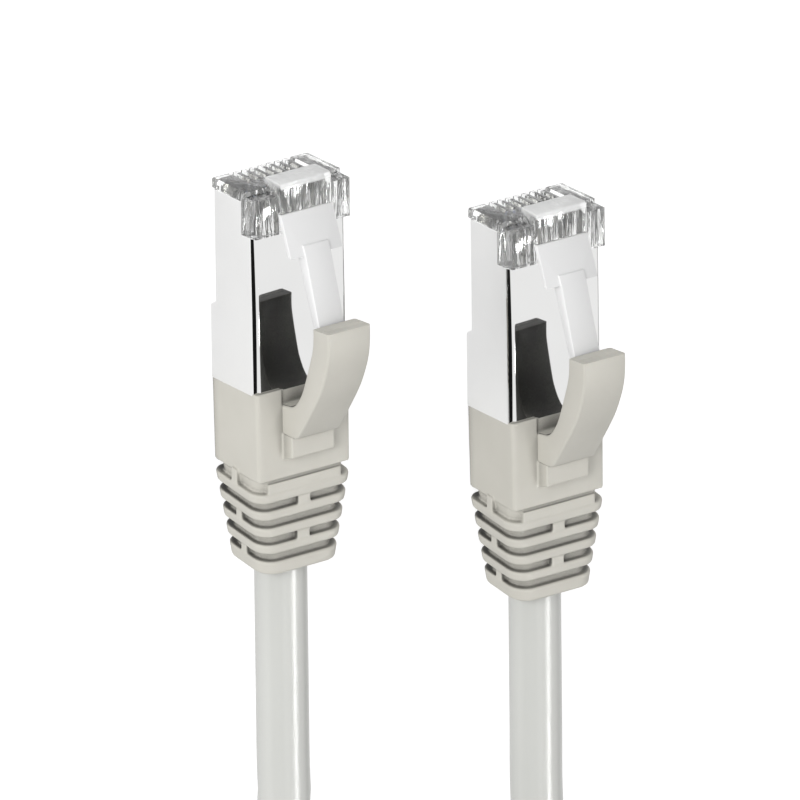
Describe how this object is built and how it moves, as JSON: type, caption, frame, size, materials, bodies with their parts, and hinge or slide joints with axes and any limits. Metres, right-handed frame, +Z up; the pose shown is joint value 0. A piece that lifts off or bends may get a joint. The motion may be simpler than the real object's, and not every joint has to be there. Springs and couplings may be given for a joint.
{
  "type": "shielded ethernet patch cable",
  "caption": "Shielded patch cable with clear-nosed modular plugs, bright metal shells, grey moulded boots and curved snagless latch guards; spare cable coiled and tied.",
  "frame": {"origin": "bottom centre of the box round the two plugs, on the surface they lie on", "axes": "+Y along both plugs toward their noses, +Z up through the latches, +X from plug A to plug B"},
  "size_m": [0.0792, 0.161, 0.0164],
  "materials": {
    "clear_housing": "clear moulded polycarbonate",
    "frosted_latch": "clear moulded polycarbonate, milky where it bends",
    "nickel_shield": "bright nickel-plated folded sheet",
    "wire_guide": "clear moulded plastic",
    "crimp_collar": "plain metal",
    "grey_boot": "satin moulded PVC, warm light grey",
    "gold_contact": "gilt phosphor bronze",
    "cable_jacket": "satin PVC jacket, light grey",
    "tie_strap": "black woven hook strap",
    "wire_white_orange": "insulated conductor",
    "wire_orange": "insulated conductor",
    "wire_white_green": "insulated conductor",
    "wire_blue": "insulated conductor",
    "wire_white_blue": "insulated conductor",
    "wire_green": "insulated conductor",
    "wire_white_brown": "insulated conductor",
    "wire_brown": "insulated conductor"
  },
  "bodies": {
    "cable": {"plug_a_housing": "clear_housing", "plug_a_shield": "nickel_shield", "plug_a_wire_guide": "wire_guide", "plug_a_crimp_collar": "crimp_collar", "plug_a_boot": "grey_boot", "plug_a_contact_1": "gold_contact", "plug_a_contact_2": "gold_contact", "plug_a_contact_3": "gold_contact", "plug_a_contact_4": "gold_contact", "plug_a_contact_5": "gold_contact", "plug_a_contact_6": "gold_contact", "plug_a_contact_7": "gold_contact", "plug_a_contact_8": "gold_contact", "plug_a_conductor_1": "wire_white_orange", "plug_a_conductor_2": "wire_orange", "plug_a_conductor_3": "wire_white_green", "plug_a_conductor_4": "wire_blue", "plug_a_conductor_5": "wire_white_blue", "plug_a_conductor_6": "wire_green", "plug_a_conductor_7": "wire_white_brown", "plug_a_conductor_8": "wire_brown", "plug_b_housing": "clear_housing", "plug_b_shield": "nickel_shield", "plug_b_wire_guide": "wire_guide", "plug_b_crimp_collar": "crimp_collar", "plug_b_boot": "grey_boot", "plug_b_contact_1": "gold_contact", "plug_b_contact_2": "gold_contact", "plug_b_contact_3": "gold_contact", "plug_b_contact_4": "gold_contact", "plug_b_contact_5": "gold_contact", "plug_b_contact_6": "gold_contact", "plug_b_contact_7": "gold_contact", "plug_b_contact_8": "gold_contact", "plug_b_conductor_1": "wire_white_orange", "plug_b_conductor_2": "wire_orange", "plug_b_conductor_3": "wire_white_green", "plug_b_conductor_4": "wire_blue", "plug_b_conductor_5": "wire_white_blue", "plug_b_conductor_6": "wire_green", "plug_b_conductor_7": "wire_white_brown", "plug_b_conductor_8": "wire_brown", "cable_lead_a": "cable_jacket", "cable_lead_b": "cable_jacket", "cable_coil": "cable_jacket", "coil_tie": "tie_strap"},
    "finger_a": {"plug_a_boot_finger": "grey_boot"},
    "latch_a": {"plug_a_latch": "frosted_latch"},
    "finger_b": {"plug_b_boot_finger": "grey_boot"},
    "latch_b": {"plug_b_latch": "frosted_latch"}
  },
  "joints": [
    {"name": "finger_a_bend", "type": "hinge", "parent": "cable", "child": "finger_a", "pos_m": [-0.01594, 0.00098, 0.0082], "axis": [-1, 0, 0], "range_deg": [0, 13], "stiffness_Nm_per_rad": 0.06},
    {"name": "latch_a_bend", "type": "hinge", "parent": "cable", "child": "latch_a", "pos_m": [-0.01594, 0.02319, 0.00895], "axis": [1, 0, 0], "range_deg": [0, 15.6]},
    {"name": "finger_b_bend", "type": "hinge", "parent": "cable", "child": "finger_b", "pos_m": [0.01594, -0.00968, 0.0082], "axis": [-1, 0, 0], "range_deg": [0, 13], "stiffness_Nm_per_rad": 0.06},
    {"name": "latch_b_bend", "type": "hinge", "parent": "cable", "child": "latch_b", "pos_m": [0.01594, 0.01252, 0.00895], "axis": [1, 0, 0], "range_deg": [0, 15.6]}
  ],
  "couplings": [
    {"joint": "latch_a_bend", "follows": "finger_a_bend", "ratio": 1.2},
    {"joint": "latch_b_bend", "follows": "finger_b_bend", "ratio": 1.2}
  ]
}
